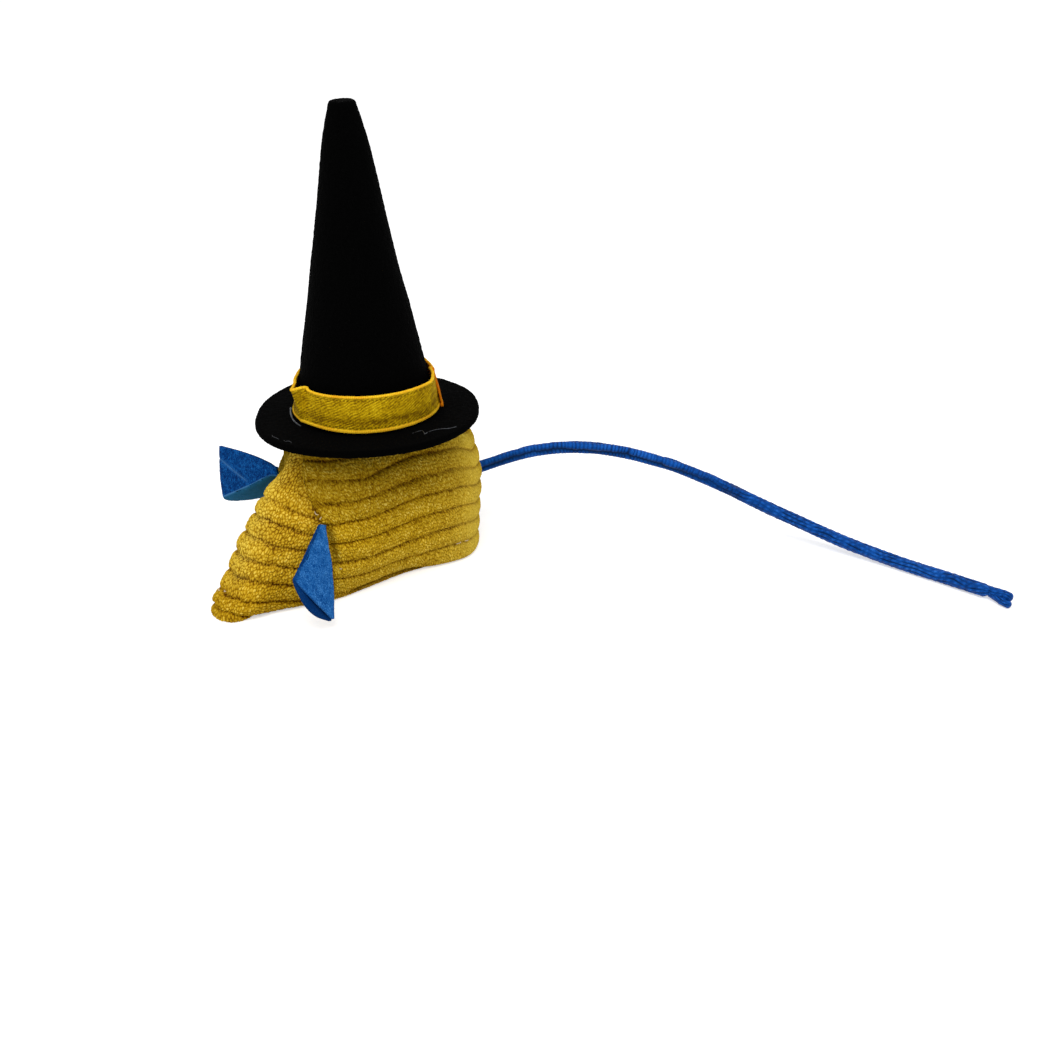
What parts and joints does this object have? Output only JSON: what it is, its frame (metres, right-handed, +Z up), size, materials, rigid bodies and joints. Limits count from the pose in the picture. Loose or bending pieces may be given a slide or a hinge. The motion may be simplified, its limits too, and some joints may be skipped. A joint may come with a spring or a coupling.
{
  "type": "mouse cat toy",
  "caption": "Stuffed corduroy mouse for cats with folded felt ears, a cord tail and a tall pointed felt hat with a ribbon band.",
  "frame": {"origin": "on the ground under the mouse, where the body rests, straight below the hat brim's place on the body", "axes": "+Z up, -Y towards the nose, +Y towards the tail's root, +X towards the mouse's left ear"},
  "size_m": [0.1574, 0.1455, 0.1161],
  "materials": {
    "corduroy": "matte",
    "blue_felt": "matte",
    "blue_cord": "matte",
    "black_felt": "matte",
    "ribbon": "satin",
    "filling": "matte"
  },
  "bodies": {
    "body": {"face_panel": "corduroy", "side_panel_left": "corduroy", "side_panel_right": "corduroy", "base_panel": "corduroy", "stuffing": "filling", "tail_knot": "blue_cord", "hat_brim": "black_felt", "hat_cone": "black_felt", "hat_band": "ribbon"},
    "left_ear": {"ear_left": "blue_felt"},
    "right_ear": {"ear_right": "blue_felt"},
    "tail_joint": {"tail_root": "blue_cord"},
    "tail": {"tail_cord": "blue_cord", "tail_tip": "blue_cord"}
  },
  "joints": [
    {"name": "ear_left_lift", "type": "hinge", "parent": "body", "child": "left_ear", "pos_m": [0.01207, -0.02405, 0.02073], "axis": [-0.3102, -0.9507, 0], "range_deg": [-5, 60]},
    {"name": "ear_right_lift", "type": "hinge", "parent": "body", "child": "right_ear", "pos_m": [-0.00991, -0.02405, 0.02447], "axis": [-0.3102, 0.9507, 0], "range_deg": [-18, 35]},
    {"name": "tail_swing", "type": "hinge", "parent": "body", "child": "tail_joint", "pos_m": [0, 0.0282, 0.0143], "axis": [0, 0, 1], "range_deg": [-10, 60]},
    {"name": "tail_lift", "type": "hinge", "parent": "tail_joint", "child": "tail", "pos_m": [0, 0.0282, 0.0143], "axis": [0.7962, -0.6051, 0], "range_deg": [0, 40]}
  ]
}
